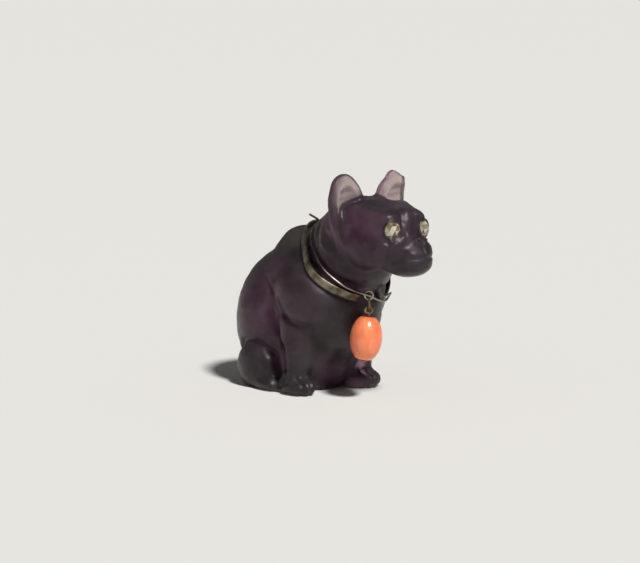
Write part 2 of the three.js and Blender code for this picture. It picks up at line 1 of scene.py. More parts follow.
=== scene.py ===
# %% [markdown]
# # An amethyst bulldog with a gilt collar and a coral bead
# The real thing is a carving about 38 mm long. One piece of amethyst makes the dog. Two rose-cut
# stones are its eyes, and a flat gilt band and a wire go round its neck. A ring and a link on the
# wire carry a coral bead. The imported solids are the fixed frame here. This script gives each of
# them its fine surface and its finish, and never moves or resizes them.
# %% Load the frame
import math
import bpy
import bmesh
import numpy as np
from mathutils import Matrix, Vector


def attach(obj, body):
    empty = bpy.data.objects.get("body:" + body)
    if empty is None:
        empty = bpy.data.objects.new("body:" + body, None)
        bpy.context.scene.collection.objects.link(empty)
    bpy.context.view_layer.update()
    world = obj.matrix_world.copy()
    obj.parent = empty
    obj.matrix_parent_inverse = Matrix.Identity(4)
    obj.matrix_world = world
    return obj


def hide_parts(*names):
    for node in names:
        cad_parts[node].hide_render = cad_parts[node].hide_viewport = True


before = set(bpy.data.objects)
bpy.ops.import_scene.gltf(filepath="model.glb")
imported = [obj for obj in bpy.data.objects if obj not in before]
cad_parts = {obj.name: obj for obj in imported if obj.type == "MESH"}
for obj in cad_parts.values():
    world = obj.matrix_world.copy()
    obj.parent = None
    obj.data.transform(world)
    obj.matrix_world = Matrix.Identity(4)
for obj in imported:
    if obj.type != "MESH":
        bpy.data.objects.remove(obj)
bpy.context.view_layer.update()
print("solids in the frame:", len(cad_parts))

# %% [markdown]
# The carver's sizes are in millimetres from a point under the middle of the dog, which looks along
# -Y with its own left at +X. Blender works in metres, so one small function turns a list of such
# points into places in the scene. Every piece passes through it, and so every piece stays in place.
# %% Units
MM = 0.001
ORIGIN = np.array([0.0, 0.07, 0.0])
rng = np.random.default_rng(7)


def in_metres(points):
    return (np.asarray(points, float) - ORIGIN) * MM


# %% [markdown]
# ## Forms
# A carved animal has no edges to loft between: egg-like masses run into each other. So the dog is
# a distance field, a function that says how far a point lies from the surface, negative inside.
# Eggs and tapered limbs are simple fields, and a soft minimum joins two of them with a fillet of
# any width. Metaballs would do the same with less control, and sculpting by hand can't be rerun.
# %% Eggs, limbs and soft joins


def turn_matrix(turn):
    ax, ay, az = np.radians(turn)
    cx, cy, cz = math.cos(ax), math.cos(ay), math.cos(az)
    sx, sy, sz = math.sin(ax), math.sin(ay), math.sin(az)
    about_x = np.array([[1, 0, 0], [0, cx, -sx], [0, sx, cx]])
    about_y = np.array([[cy, 0, sy], [0, 1, 0], [-sy, 0, cy]])
    about_z = np.array([[cz, -sz, 0], [sz, cz, 0], [0, 0, 1]])
    return about_z @ about_y @ about_x


def egg(p, at, radii, turn=(0, 0, 0)):
    q = p - np.array(at)
    if any(turn):
        q = q @ turn_matrix(turn)
    a = np.linalg.norm(q / radii, axis=1)
    b = np.linalg.norm(q / np.square(radii), axis=1)
    return a * (a - 1) / np.maximum(b, 1e-6)


def limb(p, start, end, r_start, r_end):
    q = p - np.array(start)
    d = np.subtract(end, start)
    t = np.clip(q @ d / (d @ d), 0, 1)
    return np.linalg.norm(q - t[:, None] * d, axis=1) - (r_start + (r_end - r_start) * t)


def stroke(p, points, r):
    runs = [limb(p, a, b, r, r) for a, b in zip(points, points[1:])]
    return np.minimum.reduce(runs)


def join(a, b, k):
    h = np.maximum(k - np.abs(a - b), 0) / k
    return np.minimum(a, b) - h * h * k / 4


def cut(a, b, k):
    return -join(-a, b, k)


def meet(a, b, k):
    return -join(-a, -b, k)


def mirrored(p):
    return np.abs(p[:, :1]) * [1, 0, 0] + p * [0, 1, 1]


# %% [markdown]
# The head is its own group of forms, measured from the middle of the head, and turned a little
# towards the dog's left. The masses are the same as in the solid: skull, cheeks, a short muzzle
# with hanging flews, jaw and lips, a ridge from each temple to the brow, and a nose. A hollow is
# cut where each eye stone goes.
# %% Head
HEAD_AT = [1.2, -8.6, 25.8]
HEAD_YAW = 4
HEAD_ROLL = 3
HEAD_TURN = turn_matrix([0, HEAD_ROLL, HEAD_YAW])
EAR_ROOT_AT = [4.6, 1.9, 1.5]


def head_masses(q):
    m = mirrored(q)
    d = egg(q, [0, 0.4, 0.4], [6.0, 6.3, 4.8])
    d = join(d, egg(m, [3.1, -1.6, -1.8], [3.3, 4.8, 3.7]), 1.5)
    d = join(d, egg(q, [0, -3.7, 0.6], [4.7, 3.6, 3.5]), 1.4)
    d = join(d, egg(q, [0, -5.8, -2.3], [3.9, 4.0, 3.2]), 1.0)
    d = join(d, egg(m, [1.75, -7.0, -1.6], [1.9, 1.95, 1.5]), 0.5)
    d = join(d, egg(q, [0, -6.4, -4.0], [3.45, 3.95, 2.1]), 1.1)
    d = join(d, egg(q, [0, -6.2, -2.9], [3.6, 3.9, 2.0]), 0.9)
    d = join(d, limb(m, [4.6, -0.5, 3.2], [3.2, -5.0, 1.8], 1.4, 1.1), 2.0)
    d = join(d, egg(m, [2.4, -4.7, 2.9], [1.7, 1.2, 0.8], [0, 8, 0]), 1.1)
    d = join(d, egg(q, [0, -5.3, 1.9], [1.3, 1.6, 2.3]), 1.0)
    d = join(d, egg(q, [0, -8.65, -0.35], [1.25, 0.95, 0.85]), 0.35)
    d = cut(d, egg(m, [3.35, -7.4, 0.95], [1.6, 1.0, 1.6], [0, 0, 18]), 0.35)
    return join(d, egg(m, EAR_ROOT_AT, [2.3, 1.9, 2.3]), 0.9)


# %% [markdown]
# The ears are thick upright leaves, scooped out in front. The left one runs to a point and has
# lost its outer corner, and the break stays: two planes cut the leaf where the stone is missing.
# The glow of light through the thin ears is painted in as a paler colour, so a second function
# says how far a point is out on a leaf. The rim is left out of the painted glow, because it
# looks darker on the real one.
# %% Ears
EAR_AT = [4.7, 2.0, 2.85]
EAR_TURN = turn_matrix([-4, 15, -4])
EAR_HALF = [3.9, 6.2]
EAR_THICK = 2.1
EAR_TAPER = 0.45
TIP_AT = [-0.8, 5.2]
TIP_R = 1.1
CHIP_AT = [5.17, 9.11]
CHIP_SLOPE = math.radians(29)
CHIP_EDGE = 7.0
LEAF_FROM = 0.18
LEAF_FADE = 1.8
RIM_FROM = 0.86
RIM_WIDE = 0.1
RIM_DARK = 0.75


def ears(q):
    m = mirrored(q)
    e = (m - EAR_AT) @ EAR_TURN
    outline = e[:, [0, 2]]
    a = np.linalg.norm(outline / EAR_HALF, axis=1)
    b = np.linalg.norm(outline / np.square(EAR_HALF), axis=1)
    d = a * (a - 1) / np.maximum(b, 1e-6)
    tip = join(d, np.linalg.norm(outline - TIP_AT, axis=1) - TIP_R, 0.9)
    d = np.where(q[:, 0] > 0, tip, d)
    thick = EAR_THICK / 2 * (1 - EAR_TAPER * np.minimum(a, 1.2) ** 2)
    d = meet(d, np.abs(e[:, 1]) - thick, 0.5)
    d = cut(d, egg(e, [0.2, -2.6, 0.2], [3.4, 2.8, 5.7]), 0.3)
    d = join(d, egg(m, EAR_ROOT_AT, [2.2, 1.4, 2.6]), 0.8)
    past = q[:, [0, 2]] - CHIP_AT
    chip = past[:, 0] * math.sin(CHIP_SLOPE) + past[:, 1] * math.cos(CHIP_SLOPE)
    return np.maximum.reduce([d, chip, q[:, 0] - CHIP_EDGE])


def ear_share(p):
    """1 on the leaf of an ear, where light shining through is painted as a paler colour; 0 on the head
    and along the darker rim of the leaf.
    """
    q = (p - HEAD_AT) @ HEAD_TURN
    e = (mirrored(q) - EAR_AT) @ EAR_TURN
    a = np.linalg.norm(e[:, [0, 2]] / EAR_HALF, axis=1)
    leaf = np.clip((head_masses(q) - LEAF_FROM) / LEAF_FADE, 0, 1)
    return leaf * (1 - RIM_DARK * np.clip((a - RIM_FROM) / RIM_WIDE, 0, 1))


# %% [markdown]
# The collar lies on a plane that leans from the nape down to the chest, and drops a little on the
# dog's left. The neck is hollowed along that line, so it comes before the body.
# %% Line of the collar
COLLAR_AT = np.array([0.3, -1.4, 20.6])
COLLAR_SLOPE = math.radians(38)
COLLAR_UP = np.array([0, -math.sin(COLLAR_SLOPE), math.cos(COLLAR_SLOPE)])
COLLAR_BACK = np.array([0, math.cos(COLLAR_SLOPE), math.sin(COLLAR_SLOPE)])
COLLAR_DROP = 1.5
DROP_AT = 312
DROP_REACH = 44
SEAT_DEEP = 1.15
SEAT_UP = 0.4
SEAT_WIDE = 1.7


def collar_drop(degrees):
    off = (degrees - DROP_AT + 540) % 360 - 180
    drop = COLLAR_DROP * np.cos(off / DROP_REACH * math.pi / 2) ** 2
    return np.where(np.abs(off) < DROP_REACH, drop, 0)


def collar_seat(p):
    q = p - COLLAR_AT
    height = q @ COLLAR_UP + collar_drop(np.degrees(np.arctan2(q @ COLLAR_BACK, q[:, 0])))
    return SEAT_DEEP * np.exp(-np.square((height - SEAT_UP) / SEAT_WIDE))


# %% [markdown]
# The sitting body is a heavy rump, a back that rises to the withers, a chest, and a neck that
# leans forward into the head. The haunches and shoulders are a pair, so they are worked out on one
# side and the points are mirrored. The forelegs differ: the left paw stands further forward and
# in. A long shallow fold runs down each flank behind the foreleg.
# %% Body
FLANK_FOLD = [
    [7.2, 8.8, 17.6], [8.7, 5.8, 15.2], [8.7, 6.6, 12.8], [8.3, 5.2, 9.8], [8.4, 2.7, 7.0],
    [8.4, 2.5, 3.6], [8.5, 3.4, 1.2],
]
FLANK_PIT = [8.9, 6.3, 13.3]
RIGHT_PAW = [-6.4, 2.0, 1.2]
LEFT_PAW = [5.3, 0.5, 1.2]


def trunk(p):
    m = mirrored(p)
    d = egg(p, [0, 10.7, 10.0], [9.0, 8.4, 11.3])
    d = join(d, egg(p, [0, 6.6, 14.4], [7.4, 7.6, 8.6], [20, 0, 0]), 2.5)
    d = join(d, egg(p, [0.5, -0.2, 13.7], [7.0, 6.7, 8.7]), 2.5)
    d = join(d, egg(m, [5.2, 1.2, 15.6], [3.9, 5.9, 5.6], [-14, 0, 0]), 0.9)
    d = join(d, egg(p, [0, 6.9, 20.5], [4.8, 4.7, 4.9]), 1.8)
    d = join(d, limb(p, [0.3, -1.0, 17.5], [1.0, -5.0, 24.4], 7.2, 6.2), 1.6)
    d = join(d, limb(p, [0, 3.4, 20.2], [1.0, -4.5, 25.4], 5.3, 5.2), 1.6) + collar_seat(p)
    d = join(d, egg(p, [0, 3.9, 7.0], [6.6, 5.7, 8.0]), 2.0)
    for paw, half_wide in ((RIGHT_PAW, 2.5), (LEFT_PAW, 2.9)):
        ankle = np.add(paw, [0, 0.1, 1.4])
        elbow = [math.copysign(5.6, paw[0]), 2.2, 11.0]
        d = join(d, limb(p, elbow, ankle, 3.1, 2.0), 0.7)
        d = join(d, egg(p, paw, [half_wide, 3.9, 1.8]), 0.5)
    d = join(d, egg(m, [6.9, 10.2, 3.4], [2.75, 4.7, 4.4]), 0.25)
    d = join(d, egg(m, [7.5, 7.2, 1.0], [1.9, 3.8, 1.4]), 0.5)
    d = join(d, egg(p, [0, 8.6, 3.0], [7.4, 8.0, 5.0]), 1.5)
    d = cut(d, stroke(m, FLANK_FOLD, 0.25), 0.9)
    return cut(d, egg(m, FLANK_PIT, [0.9, 0.6, 1.0]), 0.5)


def dog_masses(p):
    q = (p - HEAD_AT) @ HEAD_TURN
    return join(join(trunk(p), head_masses(q), 0.9), ears(q), 0.8)


# %% [markdown]
# ## Fine carving
# The wheel-cut details are grooves and low ridges a few tenths of a millimetre deep. Each is a
# line drawn on the form as seen from one side, and it lifts or lowers the distance near the line,
# so the groove follows the surface at an even depth whatever the form does underneath.
# %% Engraved lines


def line_distance(u, v, points):
    """Distance in a plane from each (u, v) to a drawn line."""
    flat = np.stack([u, v, np.zeros_like(u)], axis=1)
    return stroke(flat, [[a, b, 0] for a, b in points], 0)


def engrave(d, distance, width, depth, where=1.0):
    return d + depth * np.exp(-np.square(distance / width)) * where


def beyond(value, edge, blend=0.6):
    """0 below the edge and 1 above it, with a soft step between."""
    return np.clip((value - edge) / blend + 0.5, 0, 1)


# %% [markdown]
# On the face these are the mouth, the cleft of the lips, the nostrils, the wrinkles of the brow
# and the fold that hangs from the cheek. They are drawn looking straight at the face, and fade
# out behind it.
# %% Lines of the face
MOUTH = [[0, -2.5], [0.9, -2.9], [1.9, -2.95], [3.0, -2.8], [3.5, -3.7]]
CLEFT = [[0, -1.2], [0, -2.6]]
NOSE_RIM = [[0, 0.55], [0.9, 0.35], [1.35, -0.25], [1.0, -0.95], [0.3, -1.2]]
BROW_GROOVE = [[0.35, 5.2], [0.7, 4.4], [1.2, 3.9], [1.6, 2.7], [1.9, 1.6]]
BROW_FOLD = [[1.7, 2.2], [2.4, 2.75], [3.4, 2.9], [4.4, 2.3]]
CHEEK_FOLD = [[1.7, 0.3], [2.2, -0.6], [3.3, -1.1], [4.3, -0.7]]
CHEEK_SPOTS = [[6.0, -3.5, -1.0], [5.4, -4.9, -2.0], [3.7, -6.6, -0.7]]
NOSTRIL_AT = [0.62, -9.35, -0.35]


def face_lines(d, q):
    m = mirrored(q)
    u, v = m[:, 0], m[:, 2]
    front = beyond(-q[:, 1], 2.6, 1.2)
    d = engrave(d, line_distance(u, v, MOUTH), 0.28, 0.18, front * beyond(u, 0.3, 1.2))
    d = engrave(d, line_distance(u, v, CLEFT), 0.22, 0.2, front)
    d = engrave(d, line_distance(u, v, NOSE_RIM), 0.18, 0.16, beyond(-q[:, 1], 7.4))
    d = engrave(d, line_distance(u, v, BROW_GROOVE), 0.45, 0.2, front * beyond(-v, -4.4, 1.4))
    d = engrave(d, line_distance(u, v, BROW_FOLD), 0.34, 0.07, front)
    d = engrave(d, line_distance(u, v, CHEEK_FOLD), 0.3, 0.2, front)
    for spot in CHEEK_SPOTS:
        d = join(d, egg(m, spot, [0.3, 0.3, 0.3]), 0.35)
    return cut(d, egg(m, NOSTRIL_AT, [0.26, 0.5, 0.2]), 0.12)


# %% [markdown]
# Below, the same tool cuts the toes, the crease under the jowl and the outline of the thigh. The
# side lines are drawn as seen from the dog's flank, on both flanks.
# %% Lines of the body
TOE_STEP = 1.15
JOWL = [[-0.5, 27.5], [-2.2, 23.4], [-5.2, 21.0], [-9.0, 20.3], [-12.5, 20.9]]
THIGH = [
    [14.6, 3.0], [13.9, 5.6], [12.3, 7.2], [9.8, 7.9], [7.9, 7.0], [6.2, 5.3], [5.3, 3.1], [4.4, 1.0],
]
UPPER_ARM = [[3.4, 15.0], [2.4, 12.8], [0.6, 11.4], [-1.6, 11.0], [-3.6, 11.6], [-5.4, 13.1]]
CREASE = [[8.8, 17.6], [5.8, 15.2], [6.6, 12.8], [5.2, 9.8], [2.9, 7.2], [2.7, 3.8]]
CREASE_BACK = [[7.2, 15.0], [7.8, 12.9], [6.3, 9.6], [4.0, 6.8]]
CHIP_PIT = [-7.75, -1.0, 9.4]


def toe_grooves(d, p, paw):
    x, y, z = p.T
    where = beyond(-z, -3.4, 1.6) * beyond(-y, -paw[1] + 0.4, 1.2)
    for side in (-1, 0, 1):
        gap = x - paw[0] - side * TOE_STEP
        d = engrave(d, gap, 0.2, 0.3, where * beyond(np.sign(paw[0]) * x, 2.5))
    return d


def body_lines(d, p):
    m = mirrored(p)
    x, y, z = m.T
    for paw in (RIGHT_PAW, LEFT_PAW):
        d = toe_grooves(d, p, paw)
    for side in (-1, 0, 1):
        hind = x - 7.6 - side * 0.95
        where = beyond(-z, -2.2, 1.0) * beyond(-y, -4.9, 0.8) * beyond(y, 1.4)
        d = engrave(d, hind, 0.18, 0.25, where)
    outside = beyond(x, 4.0, 2.0)
    d = engrave(d, line_distance(y, z, CREASE), 0.4, 0.5, outside * beyond(-z, -16.4, 2.0))
    d = engrave(d, line_distance(y, z, CREASE_BACK), 0.6, -0.16, outside)
    d = engrave(d, line_distance(y, z, THIGH), 0.45, 0.5, outside)
    d = engrave(d, line_distance(y, z, UPPER_ARM), 0.45, 0.3, outside)
    d = engrave(d, line_distance(y, z, JOWL), 0.55, 0.2, outside)
    return cut(d, egg(p, CHIP_PIT, [0.3, 0.3, 0.35]), 0.1)


# %% [markdown]
# Polished by hand, no plane of such a carving is quite true. A slow waviness of a few hundredths
# of a millimetre breaks up the highlights. It is a sum of sine waves with fixed random directions,
# which needs no noise library and gives the same stone each time.
# %% Hand-cut waviness
WAVES = [(rng.normal(size=3) * 1.1, rng.uniform(0, 6.3), 0.012) for _ in range(6)]
WAVES += [(rng.normal(size=3) * 2.4, rng.uniform(0, 6.3), 0.006) for _ in range(6)]


def waviness(p):
    return sum(height * np.sin(p @ direction + phase) for direction, phase, height in WAVES)


FOOT_ROUND = 0.25


def carved_dog(p):
    q = (p - HEAD_AT) @ HEAD_TURN
    head = face_lines(head_masses(q), q)
    body = body_lines(trunk(p), p)
    d = join(join(body, head, 0.9), ears(q), 0.8)
    return meet(d + waviness(p), -p[:, 2], FOOT_ROUND)


# %% [markdown]
# ## From a field to a mesh
# A grid of cubes is laid through the form. Each cube that the surface crosses gets one corner
# point, and each grid edge that it crosses gets one square joining the four cubes around it. The
# corners are then slid along the slope of the field onto the true surface. A coarse grid finds
# where the surface is, and the fine one is worked out only there.
# %% Surface nets
GRID_LOW = np.array([-11.04, -20.16, -0.96])
GRID_CELLS = np.array([23, 43, 39])
COARSE = 0.96
FINE_PER_COARSE = 4
FINE = COARSE / FINE_PER_COARSE
NEAR_SURFACE = 1.4 * COARSE


def sample(field, points, batch=400000):
    return np.concatenate([field(points[i:i + batch]) for i in range(0, len(points), batch)])


def fine_values(field):
    axes = [GRID_LOW[a] + COARSE * (np.arange(GRID_CELLS[a]) + 0.5) for a in range(3)]
    middles = np.stack(np.meshgrid(*axes, indexing="ij"), -1).reshape(-1, 3)
    rough = sample(field, middles).reshape(GRID_CELLS)
    spread = np.ones((FINE_PER_COARSE,) * 3)
    values = np.kron(rough, spread)
    near = np.abs(values) < NEAR_SURFACE
    where = np.argwhere(near)
    values[near] = sample(field, GRID_LOW + (where + 0.5) * FINE)
    return values


def surface_net(field):
    values = fine_values(field)
    inside = values < 0
    corner = np.stack(np.meshgrid([0, 1], [0, 1], [0, 1], indexing="ij"), -1).reshape(-1, 3)
    cells = np.array(values.shape) - 1
    windows = [tuple(slice(c, c + n) for c, n in zip(offset, cells)) for offset in corner]
    count = sum(inside[window].astype(np.int8) for window in windows)
    active = np.argwhere((count > 0) & (count < 8))
    v = np.stack([values[tuple((active + c).T)] for c in corner], axis=1)
    total = np.zeros((len(active), 3))
    crossings = np.zeros(len(active))
    for a in range(8):
        for b in range(a + 1, 8):
            if np.abs(corner[a] - corner[b]).sum() != 1:
                continue
            crossed = (v[:, a] < 0) != (v[:, b] < 0)
            t = np.where(crossed, v[:, a] / np.where(crossed, v[:, a] - v[:, b], 1), 0)[:, None]
            total += np.where(crossed[:, None], corner[a] * (1 - t) + corner[b] * t, 0)
            crossings += crossed
    points = GRID_LOW + (active + 0.5 + total / crossings[:, None]) * FINE
    number = np.full(cells, -1)
    number[tuple(active.T)] = np.arange(len(active))
    return slide_on(field, points), net_squares(inside, number)


def net_squares(inside, number):
    squares = []
    for axis in range(3):
        u, v = (axis + 1) % 3, (axis + 2) % 3
        ahead = np.roll(inside, -1, axis=axis)
        core = np.ones(inside.shape, bool)
        for a in range(3):
            edge = [slice(None)] * 3
            edge[a] = [0, -1]
            core[tuple(edge)] = False
        at = np.argwhere((inside != ahead) & core)
        step_u, step_v = np.eye(3, dtype=int)[u], np.eye(3, dtype=int)[v]
        ring = [at, at - step_u, at - step_u - step_v, at - step_v]
        square = np.stack([number[tuple(r.T)] for r in ring], axis=1)
        outward = inside[tuple(at.T)]
        squares.append(np.where(outward[:, None], square, square[:, ::-1]))
    return np.concatenate(squares)


def slopes(field, points, reach=0.02):
    tetra = np.array([[1, -1, -1], [-1, -1, 1], [-1, 1, -1], [1, 1, 1]])
    g = sum(k * sample(field, points + reach * k)[:, None] for k in tetra)
    return g / np.linalg.norm(g, axis=1, keepdims=True)


def slide_on(field, points, steps=2):
    for _ in range(steps):
        off = np.clip(sample(field, points), -FINE / 2, FINE / 2)
        points = points - slopes(field, points) * off[:, None]
    return points


# %% [markdown]
# A short helper makes each piece: it puts the mesh in the scene with its place in its vertices,
# says that it moves with the one body, gives it its material, and hides the solid it stands for.
# %% Making a piece


def add_piece(name, points, faces, material, smooth=True):
    mesh = bpy.data.meshes.new(name)
    mesh.from_pydata(in_metres(points).tolist(), [], [list(f) for f in faces])
    mesh.validate()
    mesh.polygons.foreach_set("use_smooth", [smooth] * len(mesh.polygons))
    mesh.materials.append(material)
    piece = bpy.data.objects.new(name, mesh)
    bpy.context.collection.objects.link(piece)
    return piece


def settle(piece, slot, *nodes):
    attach(piece, "root")
    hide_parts(*nodes)
    print(piece.name, "faces:", len(piece.data.polygons))


# %% [markdown]
# ## Amethyst
# The stone lets light through, but soaks up most of it in a centimetre: thick parts are almost
# black with a violet glow, and the thin ears are a pale pinkish grey. A glass-like shader with
# light soaked up inside does most of that by itself; the glow of light through the ears is also
# painted in, as a paler colour. The surface is rubbed smooth rather than polished, so the light
# that comes through is blurred, and fine scratches catch the highlights.
# %% Shader helpers


def new_material(name):
    material = bpy.data.materials.new(name)
    material.use_nodes = True
    tree = material.node_tree
    return material, tree, tree.nodes["Principled BSDF"]


def set_values(node, **values):
    for name, value in values.items():
        node.inputs[name.replace("_", " ")].default_value = value


def pattern(tree, kind, scale, detail=4.0, squash=(1, 1, 1)):
    """A noise or wave on the piece's own coordinates, in waves per metre."""
    place = tree.nodes.new("ShaderNodeTexCoord")
    mapping = tree.nodes.new("ShaderNodeMapping")
    mapping.inputs["Scale"].default_value = squash
    texture = tree.nodes.new(kind)
    texture.inputs["Scale"].default_value = scale
    if "Detail" in texture.inputs:
        texture.inputs["Detail"].default_value = detail
    tree.links.new(place.outputs["Object"], mapping.inputs["Vector"])
    tree.links.new(mapping.outputs["Vector"], texture.inputs["Vector"])
    return texture


def ramp(tree, source, stops):
    node = tree.nodes.new("ShaderNodeValToRGB")
    for extra in stops[2:]:
        node.color_ramp.elements.new(extra[0])
    for element, (position, color) in zip(node.color_ramp.elements, stops):
        element.position = position
        element.color = color if len(color) == 4 else (*color, 1)
    tree.links.new(source, node.inputs["Fac"])
    return node.outputs["Color"]


def scaled(tree, source, low, high):
    node = tree.nodes.new("ShaderNodeMapRange")
    node.inputs["To Min"].default_value = low
    node.inputs["To Max"].default_value = high
    tree.links.new(source, node.inputs["Value"])
    return node.outputs["Result"]


def bump(tree, shader, source, strength, distance, before=None):
    node = tree.nodes.new("ShaderNodeBump")
    node.inputs["Strength"].default_value = strength
    node.inputs["Distance"].default_value = distance
    tree.links.new(source, node.inputs["Height"])
    if before is not None:
        tree.links.new(before, node.inputs["Normal"])
    tree.links.new(node.outputs["Normal"], shader.inputs["Normal"])
    return node.outputs["Normal"]


# %% Amethyst
QUARTZ_IOR = 1.544
STONE_DENSITY = 370


def painted_ear_glow(tree, low, high):
    """Blends two colours by the stone's "ear" attribute: the paler colour is painted light shining
    through the thin ears.
    """
    share = tree.nodes.new("ShaderNodeAttribute")
    share.attribute_name = "ear"
    mix = tree.nodes.new("ShaderNodeMix")
    mix.data_type = "RGBA"
    tree.links.new(share.outputs["Fac"], mix.inputs["Factor"])
    tree.links.new(low, mix.inputs[6])
    tree.links.new(high, mix.inputs[7])
    return mix.outputs[2]


def make_amethyst():
    material, tree, shader = new_material("amethyst_stone")
    set_values(shader, IOR=QUARTZ_IOR, Transmission_Weight=0.96, Specular_Tint=(0.45, 0.41, 0.44, 1))
    cloud = pattern(tree, "ShaderNodeTexNoise", 230, 6)
    deep = ramp(tree, cloud.outputs["Fac"], [(0.34, (0.28, 0.21, 0.27)), (0.66, (0.86, 0.72, 0.80))])
    # pale: painted light shining through the thin ears, a paler beige than the body.
    pale = ramp(tree, cloud.outputs["Fac"], [(0.3, (0.80, 0.69, 0.60)), (0.7, (0.95, 0.87, 0.77))])
    tree.links.new(painted_ear_glow(tree, deep, pale), shader.inputs["Base Color"])
    rub = pattern(tree, "ShaderNodeTexNoise", 900, 6)
    tree.links.new(scaled(tree, rub.outputs["Fac"], 0.22, 0.52), shader.inputs["Roughness"])
    grain = pattern(tree, "ShaderNodeTexNoise", 4200, 5)
    first = bump(tree, shader, grain.outputs["Fac"], 0.35, 0.00004)
    facets = pattern(tree, "ShaderNodeTexNoise", 620, 2)
    first = bump(tree, shader, facets.outputs["Fac"], 0.3, 0.00009, first)
    scratches = pattern(tree, "ShaderNodeTexNoise", 1500, 3, (1, 6, 1))
    bump(tree, shader, scratches.outputs["Fac"], 0.3, 0.00005, first)
    inside = tree.nodes.new("ShaderNodeVolumeAbsorption")
    inside.inputs["Color"].default_value = (0.54, 0.34, 0.51, 1)
    inside.inputs["Density"].default_value = STONE_DENSITY
    tree.links.new(inside.outputs["Volume"], tree.nodes["Material Output"].inputs["Volume"])
    return material


amethyst = make_amethyst()
dog_points, dog_faces = surface_net(carved_dog)
bulldog = add_piece("amethyst_bulldog", dog_points, dog_faces, amethyst)
# The ear attribute places the painted glow of light through the ears.
leaf = bulldog.data.attributes.new("ear", "FLOAT", "POINT")
leaf.data.foreach_set("value", ear_share(dog_points).astype(np.float32))
settle(bulldog, "amethyst", "bulldog")
print("share of the stone in the ears:", round(float(ear_share(dog_points).mean()), 3))

# %% [markdown]
# ## Things that follow a path
# A band, a wire, a ring and a link are all one section carried along a path. Geometry Nodes do
# this well: the path is a mesh of points and edges, a node turns it into a smooth curve, and
# Curve to Mesh carries the section along it. The finished mesh is taken off the modifier.
# %% Paths and trees


def path_object(name, points, closed=False, facing=None):
    count = len(points)
    edges = [(i, i + 1) for i in range(count - 1)] + [(count - 1, 0)] * closed
    mesh = bpy.data.meshes.new(name)
    mesh.from_pydata(in_metres(points).tolist(), edges, [])
    if facing is not None:
        attribute = mesh.attributes.new("facing", "FLOAT_VECTOR", "POINT")
        attribute.data.foreach_set("vector", np.asarray(facing, np.float32).ravel())
    path = bpy.data.objects.new(name, mesh)
    bpy.context.collection.objects.link(path)
    return path


def new_tree(name, **inputs):
    """A node tree with a Geometry input and output and a named input for each size."""
    tree = bpy.data.node_groups.new(name, "GeometryNodeTree")
    tree.interface.new_socket("Geometry", in_out="INPUT", socket_type="NodeSocketGeometry")
    for label, kind in inputs.items():
        tree.interface.new_socket(label, in_out="INPUT", socket_type=kind)
    tree.interface.new_socket("Geometry", in_out="OUTPUT", socket_type="NodeSocketGeometry")
    return tree, tree.nodes.new("NodeGroupInput"), tree.nodes.new("NodeGroupOutput")


def chain(tree, start, *steps):
    """Links nodes one after another by their first sockets and returns them."""
    made = []
    for kind in steps:
        node = tree.nodes.new("GeometryNode" + kind)
        tree.links.new(start, node.inputs[0])
        start = node.outputs[0]
        made.append(node)
    return made


def grow(path, tree, **values):
    modifier = path.modifiers.new("grow", "NODES")
    modifier.node_group = tree
    for item in tree.interface.items_tree:
        if item.in_out == "INPUT" and item.name in values:
            modifier[item.identifier] = values[item.name]
    ready = path.evaluated_get(bpy.context.evaluated_depsgraph_get())
    mesh = bpy.data.meshes.new_from_object(ready)
    path.modifiers.remove(modifier)
    path.data = mesh
    return path


# %% Wire tree
def make_wire_tree():
    tree, given, out = new_tree(
        "wire_along_path", Radius="NodeSocketFloat", Sides="NodeSocketInt", Smoothness="NodeSocketInt",
        Metal="NodeSocketMaterial",
    )
    _, kind, fine, swept, _, _, painted = chain(
        tree, given.outputs["Geometry"], "MeshToCurve", "CurveSplineType", "SetSplineResolution",
        "CurveToMesh", "SetShadeSmooth", "RealizeInstances", "SetMaterial",
    )
    kind.spline_type = "CATMULL_ROM"
    section = tree.nodes.new("GeometryNodeCurvePrimitiveCircle")
    swept.inputs["Fill Caps"].default_value = True
    for source, socket in [
        ("Radius", section.inputs["Radius"]), ("Sides", section.inputs["Resolution"]),
        ("Smoothness", fine.inputs["Resolution"]), ("Metal", painted.inputs["Material"]),
    ]:
        tree.links.new(given.outputs[source], socket)
    tree.links.new(section.outputs["Curve"], swept.inputs["Profile Curve"])
    tree.links.new(painted.outputs[0], out.inputs[0])
    return tree


wire_tree = make_wire_tree()


# %% Strip tree
def make_strip_tree():
    tree, given, out = new_tree(
        "strip_along_path", Width="NodeSocketFloat", Thickness="NodeSocketFloat",
        Edge="NodeSocketFloat", Metal="NodeSocketMaterial",
    )
    _, turned, swept, _, _, painted = chain(
        tree, given.outputs["Geometry"], "MeshToCurve", "SetCurveNormal", "CurveToMesh",
        "SetShadeSmooth", "RealizeInstances", "SetMaterial",
    )
    turned.mode = "FREE"
    facing = tree.nodes.new("GeometryNodeInputNamedAttribute")
    facing.data_type = "FLOAT_VECTOR"
    facing.inputs["Name"].default_value = "facing"
    tree.links.new(facing.outputs["Attribute"], turned.inputs["Normal"])
    section = tree.nodes.new("GeometryNodeCurvePrimitiveQuadrilateral")
    rounded = tree.nodes.new("GeometryNodeFilletCurve")
    rounded.mode = "POLY"
    rounded.inputs["Count"].default_value = 4
    swept.inputs["Fill Caps"].default_value = True
    for source, socket in [
        ("Width", section.inputs["Height"]), ("Thickness", section.inputs["Width"]),
        ("Edge", rounded.inputs["Radius"]), ("Metal", painted.inputs["Material"]),
    ]:
        tree.links.new(given.outputs[source], socket)
    tree.links.new(section.outputs["Curve"], rounded.inputs["Curve"])
    tree.links.new(rounded.outputs["Curve"], swept.inputs["Profile Curve"])
    tree.links.new(painted.outputs[0], out.inputs[0])
    return tree


strip_tree = make_strip_tree()

# %% [markdown]
# ## Metal
# The fittings are gilt metal gone dull and olive with age. The hollows have gone nearly black,
# while the edges that rub stay pale, so the colour follows a noise and the roughness does too.
# %% Gilt metal


